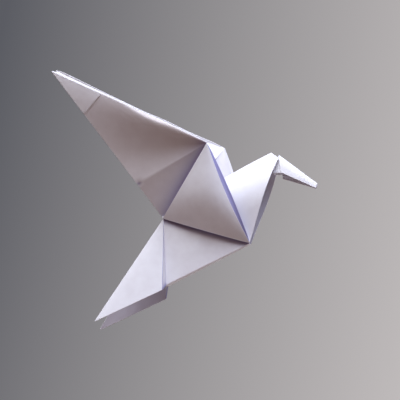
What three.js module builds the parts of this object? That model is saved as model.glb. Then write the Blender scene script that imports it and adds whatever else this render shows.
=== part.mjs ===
// A folded paper bird in climbing flight, in millimetres.
//
// +X points towards the beak, +Y to the bird's left and +Z up. The origin is the crossing on the
// back where the wing creases, the back fold and the tail creases meet. Every flat panel between
// two creases is its own node, and every crease that works as a hinge is left open as a narrow gap.

import * as THREE from 'three';

// Paper
const sheetGauge = 0.12;
const bodyLayers = 3;
const panelLayers = 2;
const singleLayer = 1;
const creaseInset = 0.35;
const headCreaseInset = 0.18;
const rootFrontInset = 0.7;
const freeEdge = 0;

// Half widths from the middle plane to each crease
const ridgeOffset = 0.4;
const backHalfWidth = 0.8;
const bodyRearHalfWidth = 1.0;
const keelFrontHalfWidth = 0.4;
const bodyKeelHalfWidth = 1.6;
const hingeHalfWidth = 1.8;
const liningOffset = 0.45;

// Body, seen from the side: lengths from the crossing and their angles above +X
const hingeLength = 41.7;
const hingeAngle = -18.3;
const keelDepth = 30.4;
const keelAngle = -87;
const innerFlapMargin = 3.5;

// Back and neck
const backLength = 56.8;
const backAngle = 28.9;
const neckEndLength = 4.3;
const neckEndAngle = -38.6;
const neckBendShare = 0.5;
const neckOpening = 5.4;

// Head
const headRise = 1.3;
const headLength = 22;
const headAngle = -39.6;
const beakTipDepth = 1.7;
const beakTipSetback = 0.6;
const headDepth = 8.2;
const headHalfWidth = 1.9;
const cheekForward = 1.3;
const collarWidth = 3.9;

// Wings: each corner is (along the hinge, up the panel), measured on the paper laid flat
const wingCreaseCorner = { along: -14, up: 13 };
const tipLayerLeading = 27.5;
const tipLayerTrailing = 25.5;
const tipLayerGap = 0.3;
const wings = {
  right: { apex: { along: 14, up: 39 }, tip: { along: -67.5, up: 52.8 }, lean: 25, bend: 8, curl: 14.6 },
  left: { apex: { along: 13, up: 42.5 }, tip: { along: -77.5, up: 56.5 }, lean: 15.5, bend: 8, curl: 17 },
};

// Tail: one leaf on each side, on a narrow pleat behind the body
const pleatDepth = 33.4;
const pleatAngle = -88.6;
const leafLength = 55.3;
const leafAngle = -123.1;
const leafHalfWidth = 6;
const tailSlip = { right: 0, left: 2.5 };

const signs = { right: -1, left: 1 };
const radians = THREE.MathUtils.degToRad;

const finishes = {
  cover: { color: 0xe6e6f0, roughness: 0.82, metalness: 0 },
  inside: { color: 0xd8d4e2, roughness: 0.88, metalness: 0 },
};

const model = new THREE.Group();

// A point of the side view at a length and an angle from the crossing, lifted to a half width.
function polar(length, degrees, y = 0) {
  const angle = radians(degrees);
  return new THREE.Vector3(length * Math.cos(angle), y, length * Math.sin(angle));
}

function between(a, b, share) {
  return a.clone().lerp(b, share);
}

// Moves each edge of a flat outline inwards by its own distance and returns the new corners.
function insetOutline(outline, insets) {
  const count = outline.length;
  const edges = outline.map((start, i) => {
    const along = outline[(i + 1) % count].clone().sub(start).normalize();
    const inward = new THREE.Vector2(-along.y, along.x);
    return { start: start.clone().addScaledVector(inward, insets[i]), along };
  });
  return edges.map((edge, i) => {
    const before = edges[(i + count - 1) % count];
    const offset = edge.start.clone().sub(before.start);
    const reach = offset.cross(edge.along) / before.along.cross(edge.along);
    return before.start.clone().addScaledVector(before.along, reach);
  });
}

// One flat panel of folded paper. corners go round the panel, the first three give its plane, and
// insets holds the distance kept from each edge, starting with the edge from the first corner.
// lift moves the panel along its own normal.
function addPanel(name, finish, corners, { layers = panelLayers, insets, lift = 0 }) {
  const across = corners[1].clone().sub(corners[0]).normalize();
  const diagonal = corners[2].clone().sub(corners[0]);
  const normal = across.clone().cross(diagonal).normalize();
  const up = normal.clone().cross(across);
  const outline = corners.map((corner) => {
    const offset = corner.clone().sub(corners[0]);
    return new THREE.Vector2(offset.dot(across), offset.dot(up));
  });
  const thickness = layers * sheetGauge;
  const shape = new THREE.Shape(insetOutline(outline, insets));
  const geometry = new THREE.ExtrudeGeometry(shape, { depth: thickness, bevelEnabled: false });
  geometry.translate(0, 0, lift - thickness / 2);
  const mesh = new THREE.Mesh(geometry, new THREE.MeshStandardMaterial(finishes[finish]));
  mesh.name = name;
  mesh.quaternion.setFromRotationMatrix(new THREE.Matrix4().makeBasis(across, up, normal));
  mesh.position.copy(corners[0]);
  model.add(mesh);
}

// The body: two sides, the fold along the keel and the flap folded away between the sides.
function addBodySide(side) {
  const y = signs[side];
  const rear = new THREE.Vector3(0, y * bodyRearHalfWidth, 0);
  const breast = polar(hingeLength, hingeAngle, y * backHalfWidth);
  const keelRear = polar(keelDepth, keelAngle, y * bodyKeelHalfWidth);
  addPanel(`${side}_body_side`, 'cover', [rear, breast, keelRear], {
    layers: bodyLayers,
    insets: [creaseInset, creaseInset + sheetGauge, creaseInset],
  });
}

function addKeelFold() {
  const front = polar(hingeLength, hingeAngle, keelFrontHalfWidth);
  const rear = polar(keelDepth, keelAngle, bodyKeelHalfWidth);
  const mirror = (point) => new THREE.Vector3(point.x, -point.y, point.z);
  addPanel('keel_fold', 'cover', [rear, mirror(rear), mirror(front), front], {
    insets: [creaseInset, freeEdge, freeEdge, freeEdge],
  });
}

function addInnerFlap() {
  const corners = [new THREE.Vector3(), polar(keelDepth, keelAngle), polar(hingeLength, hingeAngle)];
  addPanel('inner_flap', 'inside', corners, { insets: corners.map(() => innerFlapMargin) });
}

// The back and neck: an upturned V with its fold along the back, open towards the breast. Each
// flank bends once along a line from the crossing to the widest point of the open edge.
function neckPoints(side) {
  const y = signs[side];
  const crossing = new THREE.Vector3(0, y * ridgeOffset, 0);
  const backEnd = polar(backLength, backAngle, y * ridgeOffset);
  const breast = polar(hingeLength, hingeAngle, y * backHalfWidth);
  const frontTop = backEnd.clone().add(polar(neckEndLength, neckEndAngle));
  const widest = between(breast, frontTop, neckBendShare).setY(y * neckOpening);
  const flank = widest.clone().sub(crossing).cross(backEnd.clone().sub(crossing));
  const reach = frontTop.clone().setY(crossing.y).sub(crossing);
  frontTop.y = crossing.y - (flank.x * reach.x + flank.z * reach.z) / flank.y;
  return { crossing, backEnd, breast, frontTop, widest };
}

function addNeckSide(side) {
  const { crossing, backEnd, breast, frontTop, widest } = neckPoints(side);
  const lower = crossing.clone().setY(signs[side] * backHalfWidth);
  addPanel(`${side}_breast_panel`, 'cover', [lower, breast, widest], {
    insets: [creaseInset, freeEdge, creaseInset],
  });
  addPanel(`${side}_neck_panel`, 'cover', [crossing, widest, frontTop, backEnd], {
    insets: [creaseInset, freeEdge, freeEdge, sheetGauge],
  });
}

// The head: a reverse fold, so its ridge runs on top from the neck to the beak.
function headPoints(side) {
  const y = signs[side];
  const { frontTop } = neckPoints(side);
  const crown = new THREE.Vector3(frontTop.x, y * ridgeOffset, frontTop.z + headRise);
  const beakTop = crown.clone().add(polar(headLength, headAngle));
  const cheek = new THREE.Vector3(crown.x + cheekForward, y * headHalfWidth, crown.z - headDepth);
  return { crown, beakTop, cheek };
}

function addHeadSide(side) {
  const y = signs[side];
  const { crown, beakTop, cheek } = headPoints(side);
  const beakEdge = beakTop.clone().sub(crown);
  const normal = beakEdge.clone().cross(cheek.clone().sub(crown));
  const beakLow = new THREE.Vector3(beakTop.x - beakTipSetback, 0, beakTop.z - beakTipDepth);
  const reach = beakLow.clone().sub(crown);
  beakLow.y = crown.y - (normal.x * reach.x + normal.z * reach.z) / normal.y;
  addPanel(`${side}_head_side`, 'cover', [crown, cheek, beakLow, beakTop], {
    insets: [headCreaseInset, freeEdge, freeEdge, sheetGauge],
  });
  const nape = new THREE.Vector3(cheek.x - collarWidth, y * (headHalfWidth - ridgeOffset), cheek.z);
  addPanel(`${side}_head_collar`, 'cover', [crown, nape, cheek], {
    insets: [freeEdge, freeEdge, headCreaseInset],
  });
}

// A wing, in three flat panels: the root hinges on the body, the inner panel hinges on the root's
// rear crease and the outer panel on the soft crease from the apex to the trailing corner.
function wingPoints(side) {
  const y = signs[side];
  const { apex, tip, lean, bend, curl } = wings[side];
  const rear = new THREE.Vector3(0, y * hingeHalfWidth, 0);
  const front = polar(hingeLength, hingeAngle, y * hingeHalfWidth);
  const along = front.clone().sub(rear).normalize();
  const inPlane = new THREE.Vector3(-along.z, 0, along.x);
  const up = inPlane.multiplyScalar(Math.cos(radians(lean)));
  up.y = y * Math.sin(radians(lean));
  const onPanel = (corner) => rear.clone()
    .addScaledVector(along, corner.along)
    .addScaledVector(up, corner.up);
  const turn = (point, from, to, degrees) => {
    const axis = to.clone().sub(from).normalize();
    return point.clone().sub(from).applyAxisAngle(axis, radians(degrees)).add(from);
  };
  const top = onPanel(apex);
  const corner = turn(onPanel(wingCreaseCorner), rear, top, -y * bend);
  const bentTip = turn(onPanel(tip), rear, top, -y * bend);
  const farTip = turn(bentTip, corner, top, y * curl);
  return { rear, front, top, corner, farTip };
}

function addWing(side) {
  const y = signs[side];
  const { rear, front, top, corner, farTip } = wingPoints(side);
  addPanel(`${side}_wing_root`, 'cover', [rear, front, top], {
    insets: [creaseInset, rootFrontInset, creaseInset],
  });
  addPanel(`${side}_wing_lining`, 'inside', [rear, front, top], {
    layers: singleLayer,
    insets: [creaseInset, freeEdge, creaseInset],
    lift: y * liningOffset,
  });
  addPanel(`${side}_wing_inner`, 'cover', [rear, top, corner], {
    insets: [creaseInset, creaseInset, freeEdge],
  });
  addPanel(`${side}_wing_outer`, 'cover', [corner, top, farTip], {
    insets: [creaseInset, freeEdge, freeEdge],
  });
  const leadingShare = tipLayerLeading / farTip.distanceTo(top);
  const trailingShare = tipLayerTrailing / farTip.distanceTo(corner);
  const leading = between(farTip, top, leadingShare);
  const trailing = between(farTip, corner, trailingShare);
  addPanel(`${side}_wing_tip_layer`, 'cover', [trailing, leading, farTip], {
    layers: singleLayer,
    insets: [freeEdge, sheetGauge, sheetGauge],
    lift: -y * (tipLayerGap + panelLayers * sheetGauge),
  });
}

// The tail: each leaf hangs on a narrow pleat that turns it out from behind the body.
function addTailSide(side) {
  const y = signs[side];
  const slip = polar(tailSlip[side], leafAngle);
  const crossing = new THREE.Vector3(0, y * bodyRearHalfWidth, 0);
  const keelRear = polar(keelDepth, keelAngle, y * bodyKeelHalfWidth);
  const fold = polar(pleatDepth, pleatAngle, y * leafHalfWidth).add(slip);
  const end = polar(leafLength, leafAngle, y * leafHalfWidth).add(slip);
  addPanel(`${side}_tail_pleat`, 'inside', [crossing, keelRear, fold], {
    insets: [creaseInset, freeEdge, creaseInset],
  });
  addPanel(`${side}_tail_leaf`, 'cover', [crossing, fold, end], {
    insets: [creaseInset, freeEdge, freeEdge],
  });
}

addKeelFold();
addInnerFlap();
for (const side of ['right', 'left']) {
  addBodySide(side);
  addNeckSide(side);
  addHeadSide(side);
  addWing(side);
  addTailSide(side);
}

export default model;
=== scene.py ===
"""A folded paper bird in climbing flight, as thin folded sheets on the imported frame."""
import math

import bpy
import numpy as np
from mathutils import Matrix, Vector


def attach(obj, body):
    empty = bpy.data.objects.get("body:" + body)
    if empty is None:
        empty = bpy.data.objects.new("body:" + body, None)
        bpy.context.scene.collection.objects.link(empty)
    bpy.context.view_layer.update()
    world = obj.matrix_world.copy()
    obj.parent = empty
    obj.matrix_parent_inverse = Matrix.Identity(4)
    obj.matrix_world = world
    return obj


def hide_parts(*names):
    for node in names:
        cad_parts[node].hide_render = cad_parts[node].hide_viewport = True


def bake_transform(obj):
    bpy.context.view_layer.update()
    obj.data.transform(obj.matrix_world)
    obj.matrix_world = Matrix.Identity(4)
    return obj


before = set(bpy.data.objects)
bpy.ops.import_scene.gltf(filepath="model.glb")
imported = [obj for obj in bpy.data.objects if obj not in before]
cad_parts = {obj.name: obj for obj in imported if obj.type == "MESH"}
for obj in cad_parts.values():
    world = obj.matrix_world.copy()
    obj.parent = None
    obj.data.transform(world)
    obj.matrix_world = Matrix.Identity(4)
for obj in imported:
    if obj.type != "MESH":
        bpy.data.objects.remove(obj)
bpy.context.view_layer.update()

bl_info = {
    "name": "Folded Paper Bird",
    "version": (1, 0, 0),
    "blender": (4, 5, 0),
    "location": "View3D > Sidebar > Paper Bird",
    "description": "Builds a folded paper bird from thin creased sheets",
    "category": "Add Mesh",
}

MM = 0.001
SIGN = {"right": -1.0, "left": 1.0}

# Gaps that the flat panels keep from their creases
CREASE_GAP = 0.35 * MM
ROOT_FRONT_GAP = 0.7 * MM
KEEL_GAP = 0.47 * MM
HEAD_GAP = 0.18 * MM
EDGE_GAP = 0.12 * MM

# Faces that meet at more than this many degrees make a sharp edge
SHARP_ANGLE = 38

# The colour sockets of a Mix node
MIX_FIRST, MIX_SECOND, MIX_RESULT = 6, 7, 2

# Sideways, with a little forward and down: the way that panels belly out, for the left side
BULGE = (0.24, 0.945, -0.225)

# Shares of the wing's surface: the soft crease's end, the edge roll, the dimple, the tip layer's end
WING_CORNER_SHARE = 0.26
EDGE_ROLL_PLACE, EDGE_ROLL_LENGTH, EDGE_ROLL_WIDTH = 0.36, 0.09, 0.035
DIMPLE_PLACE, DIMPLE_LENGTH, DIMPLE_WIDTH = 0.97, 0.05, 0.015
TIP_LAYER_END = 0.995

# How far the left root's rear edge stands off, as a share of the right one's
LEFT_REAR_SHARE = 0.25

# The leading edge's fold: how far up and back it turns, and the steps of its columns of points
LIP_RISE, LIP_BACK = 0.85, 0.5
LIP_STEPS = np.array([0.3, 0.65, 1.0])

# Downwards across the keel, which climbs towards the breast
KEEL_DOWN = np.array([0.35, 0, 0.94])

# How much of the painted crease shade the inner faces of the neck, head and tail leaves take
NECK_INNER_SHADE, HEAD_INNER_SHADE, LEAF_INNER_SHADE = 0.4, 0.25, 0.45

# The root's lower edge: steps round the roll, then steps along the part that runs in
ROLL_STEPS, RUN_STEPS = 8, 4

# Directions that pick out a corner of a panel
FRONT, REAR = (1, 0, 0), (-1, 0, 0)
TOP, BOTTOM = (0, 0, 1), (0, 0, -1)
LOW_FRONT, LOW_REAR = (1, 0, -1), (-1, 0, -0.5)
FAR_BELOW = (1, 0, -3)


# ---------------------------------------------------------------- frame points
def flat(points):
    """Unit vector of every row: each row divided by its own length."""
    length = np.linalg.norm(points, axis=-1, keepdims=True)
    return points / np.maximum(length, 1e-12)


def panel_corners(node, picks, gaps):
    """Corners of a flat panel on its middle plane, with every edge moved out by its gap.

    A corner is the vertex farthest along its pick direction, laid on the panel's mean plane. The
    lines of neighbouring edges are moved outwards in that plane and cut with each other again.
    """
    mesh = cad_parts[node].data
    points = np.empty(len(mesh.vertices) * 3)
    mesh.vertices.foreach_get("co", points)
    points = points.reshape(-1, 3)
    centre = (points.min(axis=0) + points.max(axis=0)) / 2
    normal = np.linalg.svd(points - points.mean(axis=0))[2][2]
    heights = (points - centre) @ normal
    middle = (heights.max() + heights.min()) / 2
    points = points - np.outer(heights - middle, normal)
    corners = points[np.argmax(points @ np.array(picks, float).T, axis=0)]
    ahead = np.roll(corners, -1, axis=0)
    along = flat(ahead - corners)
    outward = np.cross(along, normal)
    inside = corners.mean(axis=0)
    outward *= np.sign(np.sum((corners - inside) * outward, axis=1, keepdims=True))
    moved = corners + outward * np.array(gaps)[:, None]
    before = np.roll(moved, 1, axis=0)
    before_along = np.roll(along, 1, axis=0)
    offset = np.cross(moved - before, along)
    turn = np.cross(before_along, along)
    reach = np.sum(offset * turn, axis=1) / np.sum(turn * turn, axis=1)
    return before + before_along * reach[:, None]


def landmarks(side):
    """The crease ends of one side of the bird, in metres, from its packed panels."""
    keel_pick = (0, -SIGN[side], -0.5)
    root = panel_corners(f"{side}_wing_root", (REAR, BOTTOM, TOP), (CREASE_GAP, ROOT_FRONT_GAP, CREASE_GAP))
    inner = panel_corners(f"{side}_wing_inner", (BOTTOM, FRONT, REAR), (CREASE_GAP, CREASE_GAP, 0))
    outer = panel_corners(f"{side}_wing_outer", (BOTTOM, FRONT, REAR), (CREASE_GAP, 0, 0))
    layer = panel_corners(f"{side}_wing_tip_layer", (BOTTOM, FRONT, REAR), (0, EDGE_GAP, EDGE_GAP))
    body = panel_corners(f"{side}_body_side", (TOP, FRONT, BOTTOM), (CREASE_GAP, KEEL_GAP, CREASE_GAP))
    pleat = panel_corners(f"{side}_tail_pleat", (TOP, keel_pick, BOTTOM), (CREASE_GAP, 0, CREASE_GAP))
    leaf = panel_corners(f"{side}_tail_leaf", (TOP, LOW_FRONT, REAR), (CREASE_GAP, 0, 0))
    breast = panel_corners(f"{side}_breast_panel", (REAR, BOTTOM, TOP), (CREASE_GAP, 0, CREASE_GAP))
    neck = panel_corners(
        f"{side}_neck_panel", (REAR, FAR_BELOW, FRONT, TOP), (CREASE_GAP, 0, 0, EDGE_GAP)
    )
    head = panel_corners(
        f"{side}_head_side", (TOP, LOW_REAR, BOTTOM, FRONT), (HEAD_GAP, 0, 0, EDGE_GAP)
    )
    collar = panel_corners(f"{side}_head_collar", (TOP, REAR, FRONT), (0, 0, HEAD_GAP))
    return {
        "rear": root[0], "front": root[1], "apex": root[2],
        "corner": (inner[2] + outer[0]) / 2, "tip": outer[2],
        "layer_low": layer[0], "layer_high": layer[1],
        "body_top": body[0], "body_front": body[1], "keel": body[2],
        "pleat_top": pleat[0], "pleat_keel": pleat[1], "pleat_fold": pleat[2],
        "leaf_top": leaf[0], "leaf_fold": leaf[1], "leaf_end": leaf[2],
        "breast": breast[1], "widest": breast[2],
        "neck_front": neck[2], "neck_back": neck[3],
        "crown": head[0], "cheek": head[1], "beak_low": head[2], "beak_top": head[3],
        "nape": collar[1], "collar_top": collar[0], "collar_cheek": collar[2],
    }


POINTS = {side: landmarks(side) for side in SIGN}


def bulge_direction(side):
    """Unit vector in which a panel on this side bellies out: BULGE, mirrored for the right side."""
    return flat(np.array(BULGE) * np.array([1, SIGN[side], 1]))


# ---------------------------------------------------------------- sheets
def lerp(a, b, share):
    """Points on the straight line from a to b at each share."""
    share = np.asarray(share)[..., None]
    return a * (1 - share) + b * share


def polyline(stops, corners, u):
    """Points along a chain of corners: each coordinate is interpolated linearly between stops."""
    return np.stack([np.interp(u, stops, np.array(corners)[:, axis]) for axis in range(3)], axis=-1)


def grid_normals(grid):
    """Unit normals of a grid of points: the cross product of its two directions."""
    down, across = np.gradient(grid, axis=0), np.gradient(grid, axis=1)
    normals = flat(np.cross(across, down))
    if np.allclose(grid[0], grid[0, 0]):
        normals[0] = flat(normals[1].mean(axis=0))
    return normals


def grid_faces(index):
    """Faces of a grid of vertex numbers: quads, and triangles where a row meets in one point."""
    quads = np.stack([index[:-1, :-1], index[:-1, 1:], index[1:, 1:], index[1:, :-1]], axis=-1)
    quads = quads.reshape(-1, 4)
    at_pole = quads[:, 0] == quads[:, 1]
    return quads[~at_pole].tolist() + quads[at_pole][:, [0, 2, 3]].tolist()


def outline(index):
    """Vertex numbers round the border of a grid, with a pole counted once."""
    pole = index[0, 0] == index[0, 1]
    first = index[0, :1] if pole else index[0, :-1]
    start = 1 if pole else 0
    right = index[start:-1, -1]
    left = index[-1:0:-1, 0]
    return np.concatenate([first, right, index[-1, :0:-1], left])


def sheet_mesh(name, grid, gauge, fold, crease, warm, inner_shade):
    """A closed thin sheet: the grid moved half the gauge each way along its normals, with a rim.

    The rim is two narrow bands that meet half a gauge outside the border, so the cut edge of the
    paper is slightly round. fold, the painted crease shade and the painted warm shade are values
    from 0 to 1 at each grid point, kept as attributes; the inner side's extra painted shade is added
    to the crease shade on the side that faces away from the normals.
    """
    rows, columns = grid.shape[:2]
    index = np.arange(rows * columns).reshape(rows, columns)
    keep = np.ones(rows * columns, bool)
    if np.allclose(grid[0], grid[0, 0]):
        keep[1:columns] = False
        index[0] = 0
        index[1:] -= columns - 1
    points = grid.reshape(-1, 3)[keep]
    normals = grid_normals(grid).reshape(-1, 3)[keep]
    count = len(points)
    loop = outline(index)
    ring = points[loop]
    along = flat(np.roll(ring, -1, axis=0) - np.roll(ring, 1, axis=0))
    outward = flat(np.cross(along, normals[loop]))
    shift = gauge / 2
    vertices = np.vstack([points + normals * shift, points - normals * shift, ring + outward * shift])
    faces = grid_faces(index)
    under = [[corner + count for corner in reversed(face)] for face in faces]
    top, low, middle = loop, loop + count, 2 * count + np.arange(len(loop))
    next_top, next_low, next_middle = (np.roll(line, -1) for line in (top, low, middle))
    upper_rim = np.stack([top, middle, next_middle, next_top], axis=1).tolist()
    lower_rim = np.stack([middle, low, next_low, next_middle], axis=1).tolist()
    mesh = bpy.data.meshes.new(name)
    mesh.from_pydata(vertices.tolist(), [], faces + under + upper_rim + lower_rim)
    tones = {"fold": (fold, fold), "crease": (crease, crease + inner_shade), "warm": (warm, warm)}
    for label, pair in tones.items():
        facing, away = (np.clip(values, 0, 1).reshape(-1)[keep] for values in pair)
        values = np.concatenate([facing, away, np.minimum(facing, away)[loop]])
        attribute = mesh.attributes.new(label, "FLOAT", "POINT")
        attribute.data.foreach_set("value", values.astype(np.float32))
    mesh.polygons.foreach_set("use_smooth", np.ones(len(mesh.polygons), bool))
    mesh.set_sharp_from_angle(angle=math.radians(SHARP_ANGLE))
    mesh.update()
    return mesh


def add_sheet(name, grid, gauge, fold, finish, nodes, body=None, crease=0.0, warm=0.0, inner_shade=0.0):
    """Makes one sheet an object in the scene, with its finish and the panels it stands for."""
    plain = np.zeros(grid.shape[:2])
    # The crease, warm and inner values carry painted shade onto the sheet's attributes
    mesh = sheet_mesh(name, grid, gauge, fold + plain, crease + plain, warm + plain, inner_shade)
    piece = bpy.data.objects.new(name, mesh)
    bpy.context.scene.collection.objects.link(piece)
    piece.data.materials.append(paper_finish(finish))
    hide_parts(*nodes)
    if body:
        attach(piece, body)
    return piece


def fan(pole, border, v):
    """Points on the straight lines from a pole to each border point: the pole plus v times the way."""
    return pole + v[:, None, None] * (border[None] - pole)


def cell_normal(grid, row, column):
    """A normal at one grid point: the cross product of the steps to its next column and row."""
    here = grid[row, column]
    return np.cross(grid[row, column + 1] - here, grid[row + 1, column] - here)


def near_border(v, u, reach):
    """Fold value on a fan: 1 at the two straight sides and the far border, fading over reach."""
    side = np.minimum(u, 1 - u)[None, :] * np.maximum(v, 0.02)[:, None]
    end = np.broadcast_to((1 - v)[:, None], side.shape)
    return np.exp(-np.minimum(side, end) / reach)


# ---------------------------------------------------------------- materials
def new_group(name, inputs, outputs):
    """An empty shader node group with its sockets, and its two end nodes."""
    group = bpy.data.node_groups.new(name, "ShaderNodeTree")
    for label, kind, default in inputs:
        socket = group.interface.new_socket(name=label, in_out="INPUT", socket_type=kind)
        if default is not None:
            socket.default_value = default
    for label, kind in outputs:
        group.interface.new_socket(name=label, in_out="OUTPUT", socket_type=kind)
    return group, group.nodes.new("NodeGroupInput"), group.nodes.new("NodeGroupOutput")


def math_node(tree, operation, first, second):
    """A Math node; each side is a socket or a number."""
    node = tree.nodes.new("ShaderNodeMath")
    node.operation = operation
    for socket, value in zip(node.inputs, (first, second)):
        if isinstance(value, (int, float)):
            socket.default_value = value
        else:
            tree.links.new(value, socket)
    return node.outputs[0]


def noise_node(tree, vector, scale, detail, stretch=None):
    """A noise texture in metres, drawn out along one axis where stretch is given."""
    if stretch:
        mapping = tree.nodes.new("ShaderNodeMapping")
        mapping.inputs["Scale"].default_value = stretch
        tree.links.new(vector, mapping.inputs["Vector"])
        vector = mapping.outputs[0]
    node = tree.nodes.new("ShaderNodeTexNoise")
    node.inputs["Scale"].default_value = scale
    node.inputs["Detail"].default_value = detail
    tree.links.new(vector, node.inputs["Vector"])
    return node.outputs["Fac"]


def mix_colours(tree, factor, first, second):
    """A colour Mix node from first to second by factor; all three are sockets."""
    node = tree.nodes.new("ShaderNodeMix")
    node.data_type = "RGBA"
    tree.links.new(factor, node.inputs["Factor"])
    tree.links.new(first, node.inputs[MIX_FIRST])
    tree.links.new(second, node.inputs[MIX_SECOND])
    return node.outputs[MIX_RESULT]


def share_between(tree, value, low, high):
    """Where a value lies between low and high, from 0 to 1."""
    node = tree.nodes.new("ShaderNodeMapRange")
    node.inputs["From Min"].default_value = low
    node.inputs["From Max"].default_value = high
    tree.links.new(value, node.inputs["Value"])
    return node.outputs[0]


def fibre_group():
    """Paper fibre: fine crossed fibres and grain, over soft clouds of pulp and a faint buckle."""
    existing = bpy.data.node_groups.get("Paper Fibre")
    if existing:
        return existing
    group, start, end = new_group(
        "Paper Fibre",
        [("Vector", "NodeSocketVector", None), ("Depth", "NodeSocketFloat", 1.0)],
        [("Height", "NodeSocketFloat"), ("Cloud", "NodeSocketFloat")],
    )
    vector = start.outputs["Vector"]
    along = noise_node(group, vector, 2600, 3, (1.0, 1.0, 0.22))
    across = noise_node(group, vector, 2100, 3, (0.25, 1.0, 1.0))
    grain = noise_node(group, vector, 6500, 1)
    pulp = noise_node(group, vector, 230, 4)
    buckle = noise_node(group, vector, 70, 2)
    surface = math_node(group, "ADD", along, across)
    surface = math_node(group, "ADD", surface, math_node(group, "MULTIPLY", grain, 0.5))
    surface = math_node(group, "ADD", surface, math_node(group, "MULTIPLY", buckle, 6.0))
    height = math_node(group, "MULTIPLY", surface, start.outputs["Depth"])
    fine_cloud = math_node(group, "MULTIPLY", pulp, 0.7)
    wide_cloud = math_node(group, "MULTIPLY", buckle, 0.3)
    group.links.new(height, end.inputs["Height"])
    group.links.new(math_node(group, "ADD", fine_cloud, wide_cloud), end.inputs["Cloud"])
    return group


def tone_group():
    """Paper tone and shade: the sheet's colour, mixed in turn with its thin and fold colours, its painted warm
    shade and its painted crease shade; on the folded inside the fold colour is painted shade too.
    """
    existing = bpy.data.node_groups.get("Paper Tone")
    if existing:
        return existing
    group, start, end = new_group(
        "Paper Tone",
        [
            ("Sheet", "NodeSocketColor", None), ("Thin", "NodeSocketColor", None),
            ("Worn", "NodeSocketColor", None), ("Cloud", "NodeSocketFloat", 0.5),
            ("Fold", "NodeSocketFloat", 0.0), ("Wear", "NodeSocketFloat", 0.3),
            ("Crease", "NodeSocketFloat", 0.0), ("Crease Colour", "NodeSocketColor", None),
            ("Warm", "NodeSocketFloat", 0.0), ("Warm Colour", "NodeSocketColor", None),
        ],
        [("Colour", "NodeSocketColor"), ("Roughness", "NodeSocketFloat")],
    )
    given = start.outputs
    pulp = share_between(group, given["Cloud"], 0.35, 0.65)
    tone = mix_colours(group, pulp, given["Thin"], given["Sheet"])
    # Near folds the colour mixes to the fold colour: the plain sheet colour on the outer paper, painted shade
    # on the folded inside
    amount = math_node(group, "MULTIPLY", given["Fold"], given["Wear"])
    tone = mix_colours(group, amount, tone, given["Worn"])
    # Painted warm shade: a brown where the sheet lies in shade
    tone = mix_colours(group, given["Warm"], tone, given["Warm Colour"])
    # Painted shade in creases, hollows and under folds
    tone = mix_colours(group, given["Crease"], tone, given["Crease Colour"])
    group.links.new(tone, end.inputs["Colour"])
    rough = math_node(group, "SUBTRACT", 0.92, math_node(group, "MULTIPLY", pulp, 0.1))
    polish = math_node(group, "MULTIPLY", given["Fold"], 0.08)
    group.links.new(math_node(group, "SUBTRACT", rough, polish), end.inputs["Roughness"])
    return group


# Two finishes of the same white paper. The folded inside is a darker, bluer copy: painted shade. On the outer
# paper the folds mix to the plain sheet colour; on the folded inside they mix to a dark lavender painted
# shade.
FINISHES = {
    "outer_paper": {
        "sheet": "cover_colour", "thin": (0.87, 0.87, 0.92, 1), "worn": (0.93, 0.93, 0.99, 1),
        "through": 0.07, "wear": 0.5,
    },
    "folded_inside": {
        "sheet": "inside_shade_colour", "thin": (0.84, 0.83, 0.92, 1), "worn": (0.36, 0.355, 0.66, 1),
        "through": 0.05, "wear": 1.0,
    },
}


def paper_finish(name):
    """White folding paper: matt, faintly fibrous, slightly see-through, with tinted folds, painted crease
    shade and painted warm shade.
    """
    label = f"{name}_sheet"
    material = bpy.data.materials.get(label)
    if material:
        return material
    spec = FINISHES[name]
    colours = bpy.context.scene.paper_bird_colours
    material = bpy.data.materials.new(label)
    material.use_nodes = True
    tree = material.node_tree
    tree.nodes.clear()
    place = tree.nodes.new("ShaderNodeTexCoord")
    fibre = tree.nodes.new("ShaderNodeGroup")
    fibre.node_tree = fibre_group()
    tree.links.new(place.outputs["Object"], fibre.inputs["Vector"])
    tone = tree.nodes.new("ShaderNodeGroup")
    tone.node_tree = tone_group()
    tone.inputs["Sheet"].default_value = tuple(getattr(colours, spec["sheet"])) + (1.0,)
    tone.inputs["Thin"].default_value = spec["thin"]
    tone.inputs["Worn"].default_value = spec["worn"]
    tone.inputs["Wear"].default_value = spec["wear"]
    # Colour of the painted shade in creases and hollows
    tone.inputs["Crease Colour"].default_value = tuple(colours.crease_colour) + (1.0,)
    # Colour of the painted warm shade
    tone.inputs["Warm Colour"].default_value = tuple(colours.shade_colour) + (1.0,)
    tree.links.new(fibre.outputs["Cloud"], tone.inputs["Cloud"])
    # The fold mask, the painted crease shade and the painted warm shade, each read from the sheet's attribute
    # of the same name
    for socket in ("Fold", "Crease", "Warm"):
        values = tree.nodes.new("ShaderNodeAttribute")
        values.attribute_name = socket.lower()
        tree.links.new(values.outputs["Fac"], tone.inputs[socket])
    bump = tree.nodes.new("ShaderNodeBump")
    bump.inputs["Strength"].default_value = 0.35
    bump.inputs["Distance"].default_value = 0.04 * MM
    tree.links.new(fibre.outputs["Height"], bump.inputs["Height"])
    face = tree.nodes.new("ShaderNodeBsdfPrincipled")
    face.inputs["Specular IOR Level"].default_value = 0.25
    tree.links.new(tone.outputs["Colour"], face.inputs["Base Color"])
    tree.links.new(tone.outputs["Roughness"], face.inputs["Roughness"])
    tree.links.new(bump.outputs["Normal"], face.inputs["Normal"])
    glow = tree.nodes.new("ShaderNodeBsdfTranslucent")
    tree.links.new(tone.outputs["Colour"], glow.inputs["Color"])
    blend = tree.nodes.new("ShaderNodeMixShader")
    blend.inputs["Fac"].default_value = spec["through"]
    tree.links.new(face.outputs[0], blend.inputs[1])
    tree.links.new(glow.outputs[0], blend.inputs[2])
    out = tree.nodes.new("ShaderNodeOutputMaterial")
    tree.links.new(blend.outputs[0], out.inputs["Surface"])
    return material


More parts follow.
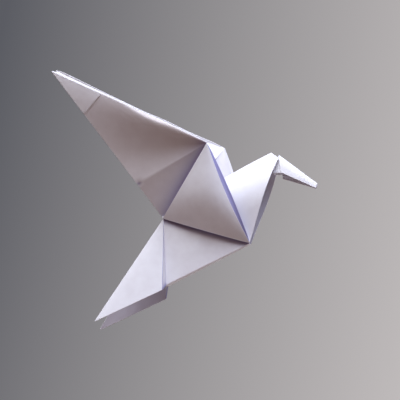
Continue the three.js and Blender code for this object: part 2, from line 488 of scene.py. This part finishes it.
# ---------------------------------------------------------------- surfaces
def wing_surface(side, u, v):
    """The wing behind its root, as a cone from the apex.

    The border runs from the rear crossing over the trailing corner to the tip, u from 0 to 1, and
    every point is the apex plus v times the way to the border. Out of that plane it moves by v
    times a wave of u: a straight valley up to the soft crease, then one low sine wave. The outer
    part bows out by a half sine of v that grows smoothly with u. Two bell curves dimple the
    trailing corner and roll in the leading edge a third of the way out.
    """
    at, sizes = POINTS[side], bpy.context.scene.paper_bird_sizes
    border = polyline((0, WING_CORNER_SHARE, 1), (at["rear"], at["corner"], at["tip"]), u)
    shape = at["apex"] + v[:, None, None] * (border[None] - at["apex"])
    inner = np.clip(u / WING_CORNER_SHARE, 0, 1)
    outer = np.clip((u - WING_CORNER_SHARE) / (1 - WING_CORNER_SHARE), 0, 1)
    wave = -sizes.wing_valley * (1 - inner) - sizes.wing_swell * np.sin(2 * np.pi * outer)
    swing = outer * outer * (3 - 2 * outer)
    down, along = v[:, None], u[None]
    lift = down * wave + sizes.leading_bow * np.sin(np.pi * down ** 0.8) * swing
    from_crease, from_place = (along - WING_CORNER_SHARE) / DIMPLE_WIDTH, (down - DIMPLE_PLACE) / DIMPLE_LENGTH
    lift = lift - sizes.corner_dimple * np.exp(-from_crease ** 2 - from_place ** 2)
    edge = ((down - EDGE_ROLL_PLACE) / EDGE_ROLL_LENGTH) ** 2 + (1 - along) / EDGE_ROLL_WIDTH
    lift = lift - sizes.edge_roll * np.exp(-edge)
    return shape + lift[..., None] * bulge_direction(side)


def wing_tones(side, u, v):
    """Painted shade and painted warm shade values of a wing sheet, at the points of its surface.

    The painted shade fades with the distance from the root's rear edge, which shades the wing, and
    a small spot of painted shade marks the dimple in the trailing corner. The painted warm shade fades
    from the apex towards the tip and is weaker on the inner panel. Only the right wing, which leans
    over its own shade, has more than the spot.
    """
    at, sizes = POINTS[side], bpy.context.scene.paper_bird_sizes
    shaded = SIGN[side] < 0
    inner = np.clip(u / WING_CORNER_SHARE, 0, 1)
    outer = np.clip((u - WING_CORNER_SHARE) / (1 - WING_CORNER_SHARE), 0, 1)
    down = v[:, None]
    from_root = u / WING_CORNER_SHARE * down * np.linalg.norm(at["corner"] - at["rear"])
    # Painted shade in the valley beside the root's rear edge
    crease = 0.9 * np.exp(-((from_root / sizes.valley_shade_reach) ** 1.2)) * (1 - 0.35 * down ** 4)
    # A spot of painted shade in the dimple at the trailing corner
    spot = ((u - WING_CORNER_SHARE) / 0.009) ** 2 + ((down - 0.98) / 0.03) ** 2
    crease = crease * shaded + 0.85 * np.exp(-spot)
    # Painted warm shade: brown on the shaded right wing, fading towards the tip
    warm = (0.78 - 0.6 * down * outer ** 0.7) * np.exp(-((down * outer / 0.85) ** 4))
    warm = warm * (0.2 + 0.3 * inner ** 2 + 0.5 * np.clip(outer / 0.3, 0, 1))
    return crease, warm * shaded


def leading_lip(side, grid, v):
    """Columns of points past the leading edge: the folded edge, turned up and back.

    Each is the edge plus its step times the lip's width, which runs out at the apex and the tip.
    """
    at, sizes = POINTS[side], bpy.context.scene.paper_bird_sizes
    edge = flat(at["tip"] - at["apex"])
    from_corner = at["apex"] - at["corner"]
    rise = flat(from_corner - edge * (from_corner @ edge))
    turned = rise * LIP_RISE - bulge_direction(side) * LIP_BACK
    width = sizes.leading_lip * np.clip(v / 0.08, 0, 1) * np.clip((1 - v) / 0.04, 0, 1)
    return grid[:, -1:] + (width[:, None] * LIP_STEPS)[..., None] * turned


def add_wing_sheet(side):
    """The wing's inner and outer panels as one sheet that bends along the soft crease."""
    at, sizes = POINTS[side], bpy.context.scene.paper_bird_sizes
    inner_u = np.linspace(0, WING_CORNER_SHARE, 26)[:-1]
    u = np.concatenate([inner_u, np.linspace(WING_CORNER_SHARE, 1, 62)])
    v = np.linspace(0, 1, 70)
    surface = wing_surface(side, u, v)
    lip = leading_lip(side, surface, v)
    plain = np.zeros(lip.shape[:2])
    crease, warm = wing_tones(side, u, v)
    grid = np.concatenate([surface, lip], axis=1)
    fold = np.concatenate([near_border(v, u, 0.03), plain + 1], axis=1)
    crease, warm = (np.concatenate([tone, plain], axis=1) for tone in (crease, warm))
    if SIGN[side] > 0:
        grid, fold, crease, warm = (values[:, ::-1] for values in (grid, fold, crease, warm))
    piece = add_sheet(f"{side}_wing_sheet", grid, sizes.paper * 2, fold, "outer_paper",
                      (f"{side}_wing_inner", f"{side}_wing_outer"), crease=crease, warm=warm)
    soft_crease = flat(at["corner"] - at["apex"])
    across = flat(at["tip"] - at["apex"])
    across = flat(across - soft_crease * (across @ soft_crease))
    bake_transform(piece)


def add_tip_layer(side):
    """The short layer folded over the tip, laid on the wing's outer face.

    Its points are places on the wing's surface, moved out along the surface normal. Its inner edge
    is the straight line across the wing between the layer's two inner corners.
    """
    at, sizes = POINTS[side], bpy.context.scene.paper_bird_sizes
    apex, tip, corner = at["apex"], at["tip"], at["corner"]
    lead = 1 - np.linalg.norm(at["layer_high"] - tip) / np.linalg.norm(apex - tip)
    trail = 1 - np.linalg.norm(at["layer_low"] - tip) / np.linalg.norm(corner - tip)
    u = np.linspace(WING_CORNER_SHARE + (1 - WING_CORNER_SHARE) * trail, 0.999, 30)
    outer = (u - WING_CORNER_SHARE) / (1 - WING_CORNER_SHARE)
    near_v = lead / (outer - (1 - outer) * (trail - lead) / (1 - trail))
    surface = wing_surface(side, np.linspace(0, 1, 200), np.linspace(0, 1, 121))
    normals = grid_normals(surface)
    normals = normals * np.sign(np.sum(normals * bulge_direction(side), axis=-1, keepdims=True))
    inward = np.linspace(0, 1, 26)[::-1, None]
    v_grid = TIP_LAYER_END - (TIP_LAYER_END - near_v[None]) * inward
    u_grid = np.broadcast_to(u[None], v_grid.shape)
    lift = flat(sample_grid(normals, u_grid, v_grid)) * (sizes.paper * 2 + sizes.layer_gap)
    grid = sample_grid(surface, u_grid, v_grid) + lift
    if SIGN[side] > 0:
        grid = grid[:, ::-1]
    fold = np.exp(-np.minimum(inward, 1 - inward) / 0.04)
    add_sheet(f"{side}_wing_tip_sheet", grid, sizes.paper, fold, "outer_paper",
              (f"{side}_wing_tip_layer",), f"{side}_wing_outer")


def sample_grid(full, u, v):
    """Values of an evenly spaced grid at shares u and v, interpolated linearly in both."""
    rows, columns = full.shape[:2]
    y, x = v * (rows - 1), u * (columns - 1)
    y0 = np.clip(np.floor(y).astype(int), 0, rows - 2)
    x0 = np.clip(np.floor(x).astype(int), 0, columns - 2)
    dy, dx = (y - y0)[..., None], (x - x0)[..., None]
    low = full[y0, x0] * (1 - dx) + full[y0, x0 + 1] * dx
    high = full[y0 + 1, x0] * (1 - dx) + full[y0 + 1, x0 + 1] * dx
    return low * (1 - dy) + high * dy


def root_surface(side, u, v, front_hollow, inward=0.0):
    """A wing root layer as rays from the apex to the hinge, u from rear to front.

    It bellies out by a half sine of v, its lower edge bows out by a half sine of u, its rear edge
    stands off the wing, more on the right, and its front edge is hollowed by a half sine of v. A
    hollow below zero bows that edge out instead, with a fuller curve.
    """
    at, sizes = POINTS[side], bpy.context.scene.paper_bird_sizes
    down = v[:, None]
    half = np.sin(np.pi * down)
    width = np.linalg.norm(at["front"] - at["rear"])
    fullness = 1 if front_hollow > 0 else 0.6
    share = u * (1 - front_hollow * half ** fullness / np.maximum(down * width, 1e-9))
    border = lerp(at["rear"], at["front"], share)
    shape = at["apex"] + v[:, None, None] * (border - at["apex"])
    across = np.sin(np.pi * np.clip(share, 0, 1))
    belly = sizes.root_belly * np.sin(np.pi * down ** 1.55) * (0.35 + 0.65 * across)
    lip_bow = sizes.root_lip_bow * down ** 4 * across ** 0.8
    stand_off = sizes.root_rear_lift * (LEFT_REAR_SHARE if SIGN[side] > 0 else 1)
    rear_lift = stand_off * half ** 0.6 * (1 - share ** 4)
    lift = belly + lip_bow + rear_lift - inward
    return shape + lift[..., None] * bulge_direction(side)


def root_lip(side, grid, u):
    """Rows of points past the root's lower edge: a roll under on a part circle, then a run inwards.

    Its radius and reach are their full sizes times the square root of a half sine of u.
    """
    sizes = bpy.context.scene.paper_bird_sizes
    out = bulge_direction(side)
    edge = grid[-1]
    down = flat(edge - grid[-2])
    turn = np.radians(np.linspace(18, 170, ROLL_STEPS))[:, None]
    fade = np.sin(np.pi * u) ** 0.5
    radius = fade * sizes.lip_radius
    roll = edge + (np.sin(turn) * radius)[..., None] * down - ((1 - np.cos(turn)) * radius)[..., None] * out
    inward = np.linspace(0.15, 1, RUN_STEPS)[:, None] * fade * sizes.lip_width
    return np.concatenate([roll, roll[-1] - inward[..., None] * out])


def add_root(side):
    """The outer root panel, with its lower edge turned under towards the body, and its lining."""
    at, sizes = POINTS[side], bpy.context.scene.paper_bird_sizes
    shaded = SIGN[side] < 0
    u, v = np.linspace(0, 1, 56), np.linspace(0, 1, 60)
    surface = root_surface(side, u, v, sizes.root_front_hollow)
    grid = np.concatenate([surface, root_lip(side, surface, u)])
    rolled, run = np.ones((ROLL_STEPS, len(u))), np.ones((RUN_STEPS, len(u)))
    fold = np.concatenate([near_border(v, u, 0.035), rolled, run * 0.3])
    crease = np.zeros(grid.shape[:2])
    # The underside of the turned lower edge takes painted shade
    crease[len(v) + 2:] = 0.75
    # Painted warm shade on the right root, browner towards its lower edge
    warm = np.zeros(grid.shape[:2])
    warm[:len(v)] = (0.05 + 0.4 * v[:, None] ** 4 * (0.35 + 0.65 * u)) * shaded
    lining = root_surface(side, u, v, -sizes.hem_bow, (sizes.paper + sizes.layer_gap) * 2)
    # On the right lining, a strip along the front edge takes the folded inside's fold colour: painted shade
    from_front = (1 - u) * v[:, None] * np.linalg.norm(at["front"] - at["rear"])
    hem_shade = np.exp(-((from_front / sizes.hem_shade_width) ** 4)) * shaded
    if SIGN[side] > 0:
        grid, fold, warm, lining, hem_shade = (values[:, ::-1] for values in (grid, fold, warm, lining, hem_shade))
    add_sheet(f"{side}_wing_root_sheet", grid, sizes.paper * 2, fold, "outer_paper",
              (f"{side}_wing_root",), f"{side}_wing_root", crease=crease, warm=warm)
    add_sheet(f"{side}_wing_root_lining", lining, sizes.paper, hem_shade, "folded_inside",
              (f"{side}_wing_lining",), f"{side}_wing_root")


def add_triangle(name, side, corners, belly, gauge, finish, node, body, shade_reach=0.0, inner_shade=0.0):
    """A triangle from its first corner, bellied sideways by a half sine each way.

    Where the shade reach is given, painted shade fades over that distance from the edge between the
    first two corners. The inner shade value adds painted shade, as crease tone, to the side that faces
    the middle of the bird.
    """
    first, second, third = corners
    u, v = np.linspace(0, 1, 40), np.linspace(0, 1, 44)
    grid = fan(first, lerp(second, third, u), v)
    lift = belly * np.sin(np.pi * v)[:, None] * np.sin(np.pi * u)
    grid = grid + lift[..., None] * np.array([0, SIGN[side], 0])
    fold = near_border(v, u, 0.04)
    crease = np.zeros(fold.shape)
    # Painted shade along the edge between the first two corners
    if shade_reach:
        from_edge = u * v[:, None] * np.linalg.norm(third - second)
        crease = 0.9 * np.exp(-((from_edge / shade_reach) ** 3))
    if np.cross(second - first, third - first)[1] * SIGN[side] > 0:
        grid, fold, crease = (values[:, ::-1] for values in (grid, fold, crease))
    add_sheet(name, grid, gauge, fold, finish, (node,), body, crease=crease, inner_shade=inner_shade)


def add_body():
    """The two body sides and the keel fold that joins them below.

    The keel's cross-section is a flattened half ellipse: powers of the cosine across and of the
    sine down, from the right panel's lower edge to the left one's.
    """
    sizes = bpy.context.scene.paper_bird_sizes
    for side in SIGN:
        at = POINTS[side]
        # Each body side takes a painted shadow along its top edge, under the wing root's hinge
        add_triangle(f"{side}_body_sheet", side, (at["body_top"], at["body_front"], at["keel"]),
                     sizes.body_belly, sizes.paper * 3, "outer_paper", f"{side}_body_side", "body",
                     shade_reach=sizes.hinge_shadow_reach)
    t = np.linspace(0, 1, 40)
    right, left = (lerp(POINTS[side]["keel"], POINTS[side]["body_front"], t) for side in SIGN)
    turn = np.linspace(0, np.pi, 13)
    middle, half = (right + left) / 2, (right - left) / 2
    across = np.sign(np.cos(turn)) * np.abs(np.cos(turn)) ** 0.6
    drop = np.sin(turn) ** 0.6 * sizes.keel_drop
    grid = middle[:, None] + half[:, None] * across[:, None] - drop[:, None] * KEEL_DOWN
    fold = np.broadcast_to(np.abs(across) ** 4, grid.shape[:2])
    if cell_normal(grid, 0, 5)[2] > 0:
        grid, fold = grid[:, ::-1], fold[:, ::-1]
    add_sheet("keel_fold_sheet", grid, sizes.paper * 2, fold, "outer_paper", ("keel_fold",), "body")


def neck_edge(side):
    """One side of the neck's border: up the front edge, then back over the neck's end.

    The front edge stands out sideways by a half sine of a power of s, and by a short exponential
    at the breast.
    """
    at, sizes = POINTS[side], bpy.context.scene.paper_bird_sizes
    s = np.linspace(0, 1, 34)
    front = lerp(at["breast"], at["neck_front"], s)
    opening = abs(at["widest"][1]) - (abs(at["breast"][1]) + abs(at["neck_front"][1])) / 2
    front[:, 1] += SIGN[side] * opening * np.sin(np.pi * s ** sizes.neck_fullness)
    front[:, 1] += SIGN[side] * sizes.breast_opening * np.exp(-s / 0.12)
    end = lerp(at["neck_front"], at["neck_back"], np.linspace(0, 1, 9)[1:])
    return np.concatenate([front, end])


def add_neck():
    """The back and neck: one sheet folded along the back, open below, as a cone from the crossing.

    The border runs up the right front edge, over the neck's end on a low arc and down the left
    front edge. The back bows up by a half sine of v, most along its middle, and near the crossing
    the two sides stand apart by the fold's half width.
    """
    sizes = bpy.context.scene.paper_bird_sizes
    right, left = neck_edge("right"), neck_edge("left")
    arc = np.radians(np.linspace(30, 150, 5))
    across, up = -np.cos(arc) * abs(right[-1, 1]), np.sin(arc) * sizes.ridge_round
    ridge = (right[-1] + left[-1]) / 2 + np.stack([0 * arc, across, up], axis=1)
    border = np.concatenate([right, ridge, left[::-1]])
    v = np.linspace(0, 1, 60)
    down = v[:, None]
    grid = fan(np.zeros(3), border, v)
    middle = (len(border) - 1) / 2
    away = np.abs(np.arange(len(border)) - middle) / middle
    grid[..., 2] += sizes.back_bow * np.sin(np.pi * down) * (1 - away) ** 0.7
    apart = sizes.ridge_half * (1 - down) * np.minimum(down * 12, 1) * np.minimum(away * 8, 1)
    grid[..., 1] += np.sign(border[:, 1]) * apart
    fold = 0.8 * np.exp(-away * 10) + np.exp(-(1 - away) * down / 0.03) + np.exp(-(1 - down) / 0.02)
    if cell_normal(grid, 30, 2)[1] > 0:
        grid, fold = grid[:, ::-1], fold[:, ::-1]
    panels = [f"{side}_{part}_panel" for side in SIGN for part in ("breast", "neck")]
    # The neck's inner face takes painted shade
    add_sheet("neck_sheet", grid, sizes.paper * 2, fold, "outer_paper", panels, "body", inner_shade=NECK_INNER_SHADE)


def head_strip(side, t, s):
    """One side of the head, straight from its lower edge (s 0) to the ridge (s 1) at each t.

    It swells sideways by a product of half sines, and stands out in a shoulder along the ridge by
    a quarter sine of the distance below it, which runs out at the ridge and the beak.
    """
    at, sizes = POINTS[side], bpy.context.scene.paper_bird_sizes
    cheek_drop = sizes.far_cheek_drop if side == "left" else 0.0
    low = lerp(at["cheek"] - np.array([0, 0, cheek_drop]), at["beak_low"], t)
    high = lerp(at["crown"], at["beak_top"], t)
    height = np.linalg.norm(high - low, axis=1)[:, None]
    strip = low[:, None] + (high - low)[:, None] * s[:, None]
    forward = t[:, None]
    swell = sizes.head_belly * np.sin(np.pi * s) * np.sin(np.pi * np.clip(forward * 0.8 + 0.2, 0, 1))
    below = np.clip((1 - s) * height / sizes.head_shoulder, 0, 1)
    shoulder = sizes.head_shoulder_out * np.sin(np.pi * below / 2) * (1 - s ** 6) * (1 - forward)
    strip[..., 1] += SIGN[side] * (swell + shoulder)
    return strip


def add_head():
    """The head: a reverse fold, one sheet over the ridge from the neck to the beak, and its collar."""
    sizes = bpy.context.scene.paper_bird_sizes
    t, s = np.linspace(0, 1, 44), np.linspace(0, 1, 20)
    right, left = head_strip("right", t, s), head_strip("left", t, s)
    crest = (right[:, -1] + left[:, -1]) / 2 + np.array([0, 0, sizes.ridge_round])
    grid = np.concatenate([right, crest[:, None], left[:, ::-1]], axis=1)
    across = np.abs(np.linspace(-1, 1, grid.shape[1]))
    fold = np.broadcast_to(np.exp(-across * 12) + np.exp(-(1 - across) / 0.03), grid.shape[:2])
    if cell_normal(grid, 5, 2)[1] > 0:
        grid, fold = grid[:, ::-1], fold[:, ::-1]
    # The head's inner face takes painted shade
    add_sheet("head_sheet", grid, sizes.paper * 2, fold, "outer_paper",
              ("right_head_side", "left_head_side"), "head", inner_shade=HEAD_INNER_SHADE)
    for side in SIGN:
        at = POINTS[side]
        add_triangle(f"{side}_collar_sheet", side, (at["collar_top"], at["nape"], at["collar_cheek"]),
                     sizes.collar_belly, sizes.paper * 2, "outer_paper", f"{side}_head_collar", "head")


def add_tail():
    """The tail: on each side a narrow pleat behind the body and the pointed leaf that hangs on it."""
    sizes = bpy.context.scene.paper_bird_sizes
    gauge = sizes.paper * 2
    for side in SIGN:
        at = POINTS[side]
        pleat, leaf = f"{side}_tail_pleat", f"{side}_tail_leaf"
        # The pleat is folded inside paper, a darker copy, with painted shade along its edges
        add_triangle(f"{side}_pleat_sheet", side, (at["pleat_top"], at["pleat_keel"], at["pleat_fold"]),
                     0.0, gauge, "folded_inside", pleat, pleat)
        # Each leaf takes painted shade on its inner face
        add_triangle(f"{side}_leaf_sheet", side, (at["leaf_top"], at["leaf_fold"], at["leaf_end"]),
                     sizes.leaf_belly, gauge, "outer_paper", leaf, leaf, inner_shade=LEAF_INNER_SHADE)


# ---------------------------------------------------------------- settings
def length(name, description, default):
    """A length setting in metres, shown in the scene's units."""
    return bpy.props.FloatProperty(name=name, description=description, default=default,
                                   precision=5, subtype="DISTANCE", unit="LENGTH")


class PaperBirdSizes(bpy.types.PropertyGroup):
    """Sizes of the folded sheets."""

    paper: length("Paper", "Thickness of one sheet of paper", 0.12 * MM)
    layer_gap: length("Layer gap", "Air between two layers folded together", 0.06 * MM)
    wing_valley: length("Wing valley", "How far the wing lies behind the root's rear edge", 2.4 * MM)
    wing_swell: length("Wing swell", "Height of the low swell across the outer wing", 0.9 * MM)
    crease_reach: length("Soft crease reach", "How far the wing's bend reaches each way", 3.5 * MM)
    leading_bow: length("Leading bow", "How far the leading edge bows out near the apex", 4.2 * MM)
    # Reach of the painted shade in the valley beside the wing root
    valley_shade_reach: length("Valley tint", "Reach of the deeper tone beside the wing root", 4.0 * MM)
    corner_dimple: length("Corner dimple", "Depth of the pinch at the trailing corner", 0.5 * MM)
    edge_roll: length("Edge roll", "How far the leading edge rolls in", 2.0 * MM)
    leading_lip: length("Leading lip", "Width of the fold along the leading edge", 0.7 * MM)
    root_belly: length("Root belly", "How far the wing root bellies out", 4.2 * MM)
    root_lip_bow: length("Root lip bow", "How far the root's lower edge bows out", 1.7 * MM)
    root_rear_lift: length("Root rear lift", "How far the root's rear edge stands off", 1.6 * MM)
    root_front_hollow: length("Root front hollow", "How far the root's front edge is hollowed", 1.5 * MM)
    hem_bow: length("Hem bow", "How far the lining's front edge bows out", 1.3 * MM)
    # Width of the painted shade on the right lining's front strip
    hem_shade_width: length("Hem width", "Width of the tinted hem on the root lining", 3.5 * MM)
    lip_radius: length("Lip radius", "Radius of the turned lower edge", 0.35 * MM)
    lip_width: length("Lip width", "How far the turned edge reaches in", 1.4 * MM)
    # Reach of the painted shadow under the wing root's hinge
    hinge_shadow_reach: length("Hinge tint", "Reach of the deeper tone under the wing hinge", 3.4 * MM)
    body_belly: length("Body belly", "How far each body side bellies out", 0.5 * MM)
    keel_drop: length("Keel drop", "Depth of the keel fold", 0.35 * MM)
    neck_fullness: bpy.props.FloatProperty(
        name="Neck fullness", description="Above 1 the neck is widest nearer its top", default=1.3)
    breast_opening: length("Breast opening", "How far the neck stands open at the breast", 0.9 * MM)
    ridge_round: length("Ridge round", "Height of the rounded fold on the back", 0.3 * MM)
    ridge_half: length("Ridge half width", "Half width of the back fold at the crossing", 0.35 * MM)
    back_bow: length("Back bow", "How far the back bows up", 1.7 * MM)
    head_shoulder: length("Head shoulder", "Depth of the band along the head's ridge", 1.2 * MM)
    head_shoulder_out: length("Head shoulder width", "How far that band stands out", 0.45 * MM)
    head_belly: length("Head belly", "How far each side of the head bellies out", 0.3 * MM)
    collar_belly: length("Collar belly", "How far each side of the collar bellies out", 0.1 * MM)
    far_cheek_drop: length("Left cheek drop", "How much lower the left cheek hangs", 1.8 * MM)
    leaf_belly: length("Leaf belly", "How far each tail leaf bellies out", 0.6 * MM)
    floor_height: length("Floor height", "Height of the floor", -0.8)


def colour(name, description, default):
    """A colour setting."""
    return bpy.props.FloatVectorProperty(name=name, description=description, default=default,
                                         size=3, min=0, max=1, subtype="COLOR")


class PaperBirdColours(bpy.types.PropertyGroup):
    """Colours of the paper and the stage."""

    cover_colour: colour("Outer paper", "Colour of the outside of the sheet", (0.93, 0.94, 0.99))
    # A darker, bluer copy of the outer paper's colour: painted shade inside the folds
    inside_shade_colour: colour("Folded inside", "Colour seen inside the folds", (0.86, 0.86, 0.92))
    # Colour of the painted shade in creases and hollows
    crease_colour: colour("Crease", "Colour deep inside a crease", (0.21, 0.16, 0.29))
    shade_colour: colour("Shade", "Warm colour of the paper's shaded hollows", (0.42, 0.32, 0.28))
    floor_colour: colour("Floor", "Colour of the floor", (0.86, 0.79, 0.74))


# ---------------------------------------------------------------- operators
class PAPERBIRD_OT_stage(bpy.types.Operator):
    """Makes the camera, the soft lights, the sky and the floor."""

    bl_idname = "paperbird.stage"
    bl_label = "Stage"

    def execute(self, context):
        """Places everything that isn't part of the bird."""
        scene = context.scene
        scene.view_settings.view_transform = "Standard"
        add_camera(scene)
        add_lights(scene)
        add_sky(scene)
        add_floor(scene)
        return {"FINISHED"}


class PAPERBIRD_OT_wings(bpy.types.Operator):
    """Makes both wings: roots, linings, wing sheets and tip layers."""

    bl_idname = "paperbird.wings"
    bl_label = "Wings"

    def execute(self, context):
        """Adds the four sheets of each wing."""
        for side in SIGN:
            add_root(side)
            add_wing_sheet(side)
            add_tip_layer(side)
        return {"FINISHED"}


class PAPERBIRD_OT_body(bpy.types.Operator):
    """Makes the body sides, the keel and the flap inside."""

    bl_idname = "paperbird.body"
    bl_label = "Body"

    def execute(self, context):
        """Adds the body's sheets and gives the flap inside its paper."""
        add_body()
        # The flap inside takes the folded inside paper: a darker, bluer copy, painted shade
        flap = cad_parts["inner_flap"]
        flap.data.materials.clear()
        flap.data.materials.append(paper_finish("folded_inside"))
        return {"FINISHED"}


class PAPERBIRD_OT_neck(bpy.types.Operator):
    """Makes the back and neck."""

    bl_idname = "paperbird.neck"
    bl_label = "Neck"

    def execute(self, context):
        """Adds the folded neck sheet."""
        add_neck()
        return {"FINISHED"}


class PAPERBIRD_OT_head(bpy.types.Operator):
    """Makes the head and its collar."""

    bl_idname = "paperbird.head"
    bl_label = "Head"

    def execute(self, context):
        """Adds the head's three sheets."""
        add_head()
        return {"FINISHED"}


class PAPERBIRD_OT_tail(bpy.types.Operator):
    """Makes the tail's pleats and leaves."""

    bl_idname = "paperbird.tail"
    bl_label = "Tail"

    def execute(self, context):
        """Adds the tail's four sheets."""
        add_tail()
        return {"FINISHED"}


OPERATORS = (
    PAPERBIRD_OT_stage, PAPERBIRD_OT_body, PAPERBIRD_OT_neck,
    PAPERBIRD_OT_head, PAPERBIRD_OT_wings, PAPERBIRD_OT_tail,
)


class PAPERBIRD_PT_sidebar(bpy.types.Panel):
    """Lists the steps that build the bird."""

    bl_idname = "PAPERBIRD_PT_sidebar"
    bl_label = "Paper Bird"
    bl_space_type = "VIEW_3D"
    bl_region_type = "UI"
    bl_category = "Paper Bird"

    def draw(self, context):
        """Shows one button for each step."""
        for operator in OPERATORS:
            self.layout.operator(operator.bl_idname, text=operator.bl_label)


# ---------------------------------------------------------------- stage
CAMERA_AZIMUTH, CAMERA_ELEVATION = 14.0, -13.0
CAMERA_DISTANCE = 0.650
CAMERA_TARGET = (0.0167, 0.0, 0.0079)
CAMERA_LENS, CAMERA_SENSOR = 130, 36
FLOOR_HALF = 2.5

SKY_LOW, SKY_HIGH, SKY_STRENGTH = (0.155, 0.088, 0.07, 1), (0.19, 0.105, 0.088, 1), 0.75
BACKDROP_SHADED, BACKDROP_LIT = (0.105, 0.108, 0.125, 1), (0.56, 0.53, 0.53, 1)


def around(azimuth, elevation):
    """Unit vector from the bird towards an azimuth from -Y and an elevation, in degrees."""
    a, e = math.radians(azimuth), math.radians(elevation)
    return Vector((math.sin(a) * math.cos(e), -math.cos(a) * math.cos(e), math.sin(e)))


def add_camera(scene):
    """A long lens a little below the bird, in front of its right side."""
    camera = bpy.data.objects.new("camera", bpy.data.cameras.new("camera"))
    scene.collection.objects.link(camera)
    camera.data.lens = CAMERA_LENS
    camera.data.sensor_width = CAMERA_SENSOR
    direction = around(CAMERA_AZIMUTH, CAMERA_ELEVATION)
    camera.location = Vector(CAMERA_TARGET) + direction * CAMERA_DISTANCE
    camera.rotation_euler = (-direction).to_track_quat("-Z", "Y").to_euler()
    camera.data.clip_start = 0.01
    scene.camera = camera


LIGHTS = (
    # name, azimuth, elevation, distance, size, power, colour
    ("key_light", -20.0, 65.0, 0.9, 0.75, 12.8, (0.88, 0.92, 1.0)),
    ("front_light", 60.0, 42.0, 0.9, 0.75, 5.9, (0.72, 0.80, 1.0)),
    ("rear_light", 165.0, 35.0, 1.0, 0.9, 3.0, (0.92, 0.94, 1.0)),
)


def add_lights(scene):
    """Large soft round panels: the key high in front, a cool fill in front and a weak one behind."""
    for name, azimuth, elevation, distance, size, power, tint in LIGHTS:
        light = bpy.data.objects.new(name, bpy.data.lights.new(name, "AREA"))
        scene.collection.objects.link(light)
        light.data.shape = "DISK"
        light.data.size = size
        light.data.energy = power
        light.data.color = tint
        direction = around(azimuth, elevation)
        light.location = Vector(CAMERA_TARGET) + direction * distance
        light.rotation_euler = (-direction).to_track_quat("-Z", "Y").to_euler()
        light.visible_camera = False


def ramp_between(tree, value, first, second):
    """A colour ramp over 0 to 1 from the first colour to the second."""
    ramp = tree.nodes.new("ShaderNodeValToRGB")
    ramp.color_ramp.elements[0].color = first
    ramp.color_ramp.elements[1].color = second
    tree.links.new(value, ramp.inputs["Fac"])
    return ramp.outputs["Color"]


def add_sky(scene):
    """A world that lights softly and warmly, and shows behind the bird a grey gradient of painted light, dark
    towards the upper left and pale towards the right.
    """
    world = bpy.data.worlds.new("studio")
    scene.world = world
    world.use_nodes = True
    tree = world.node_tree
    tree.nodes.clear()
    place = tree.nodes.new("ShaderNodeTexCoord")
    split = tree.nodes.new("ShaderNodeSeparateXYZ")
    tree.links.new(place.outputs["Generated"], split.inputs[0])
    across, up = split.outputs["X"], split.outputs["Z"]
    lit = tree.nodes.new("ShaderNodeBackground")
    lit.inputs["Strength"].default_value = SKY_STRENGTH
    glow = ramp_between(tree, share_between(tree, up, -0.5, 0.7), SKY_LOW, SKY_HIGH)
    tree.links.new(glow, lit.inputs["Color"])
    slope = math_node(tree, "SUBTRACT", across, math_node(tree, "MULTIPLY", up, 0.28))
    # The backdrop seen by the camera: painted light, dark grey at the upper left to pale at the lower right
    seen = ramp_between(tree, share_between(tree, slope, -0.45, -0.10), BACKDROP_SHADED, BACKDROP_LIT)
    backdrop = tree.nodes.new("ShaderNodeBackground")
    tree.links.new(seen, backdrop.inputs["Color"])
    path = tree.nodes.new("ShaderNodeLightPath")
    mix = tree.nodes.new("ShaderNodeMixShader")
    tree.links.new(path.outputs["Is Camera Ray"], mix.inputs["Fac"])
    tree.links.new(lit.outputs[0], mix.inputs[1])
    tree.links.new(backdrop.outputs[0], mix.inputs[2])
    out = tree.nodes.new("ShaderNodeOutputWorld")
    tree.links.new(mix.outputs[0], out.inputs["Surface"])


def add_floor(scene):
    """A plain pale floor far below the bird: one square face, very faintly patchy."""
    sizes, colours = scene.paper_bird_sizes, scene.paper_bird_colours
    half, height = FLOOR_HALF, sizes.floor_height
    corners = [(-half, -half, height), (half, -half, height), (half, half, height), (-half, half, height)]
    mesh = bpy.data.meshes.new("floor")
    mesh.from_pydata(corners, [], [(0, 1, 2, 3)])
    floor = bpy.data.objects.new("floor", mesh)
    scene.collection.objects.link(floor)
    material = bpy.data.materials.new("floor")
    material.use_nodes = True
    tree = material.node_tree
    face = tree.nodes["Principled BSDF"]
    face.inputs["Roughness"].default_value = 0.9
    place = tree.nodes.new("ShaderNodeTexCoord")
    tint = tree.nodes.new("ShaderNodeMix")
    tint.data_type = "RGBA"
    tree.links.new(noise_node(tree, place.outputs["Object"], 1.5, 2), tint.inputs["Factor"])
    pale = tuple(colours.floor_colour)
    tint.inputs[MIX_FIRST].default_value = tuple(channel * 0.97 for channel in pale) + (1.0,)
    tint.inputs[MIX_SECOND].default_value = pale + (1.0,)
    tree.links.new(tint.outputs[MIX_RESULT], face.inputs["Base Color"])
    mesh.materials.append(material)


CLASSES = (PaperBirdSizes, PaperBirdColours) + OPERATORS + (PAPERBIRD_PT_sidebar,)


def register():
    """Registers the classes and hangs the settings on the scene."""
    for cls in CLASSES:
        bpy.utils.register_class(cls)
    bpy.types.Scene.paper_bird_sizes = bpy.props.PointerProperty(type=PaperBirdSizes)
    bpy.types.Scene.paper_bird_colours = bpy.props.PointerProperty(type=PaperBirdColours)


def unregister():
    """Takes the settings and the classes away again."""
    del bpy.types.Scene.paper_bird_colours
    del bpy.types.Scene.paper_bird_sizes
    for cls in reversed(CLASSES):
        bpy.utils.unregister_class(cls)


def main():
    """Registers the add-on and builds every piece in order."""
    register()
    bpy.ops.paperbird.stage()
    bpy.ops.paperbird.body()
    bpy.ops.paperbird.neck()
    bpy.ops.paperbird.head()
    bpy.ops.paperbird.wings()
    bpy.ops.paperbird.tail()


if __name__ == "__main__":
    main()
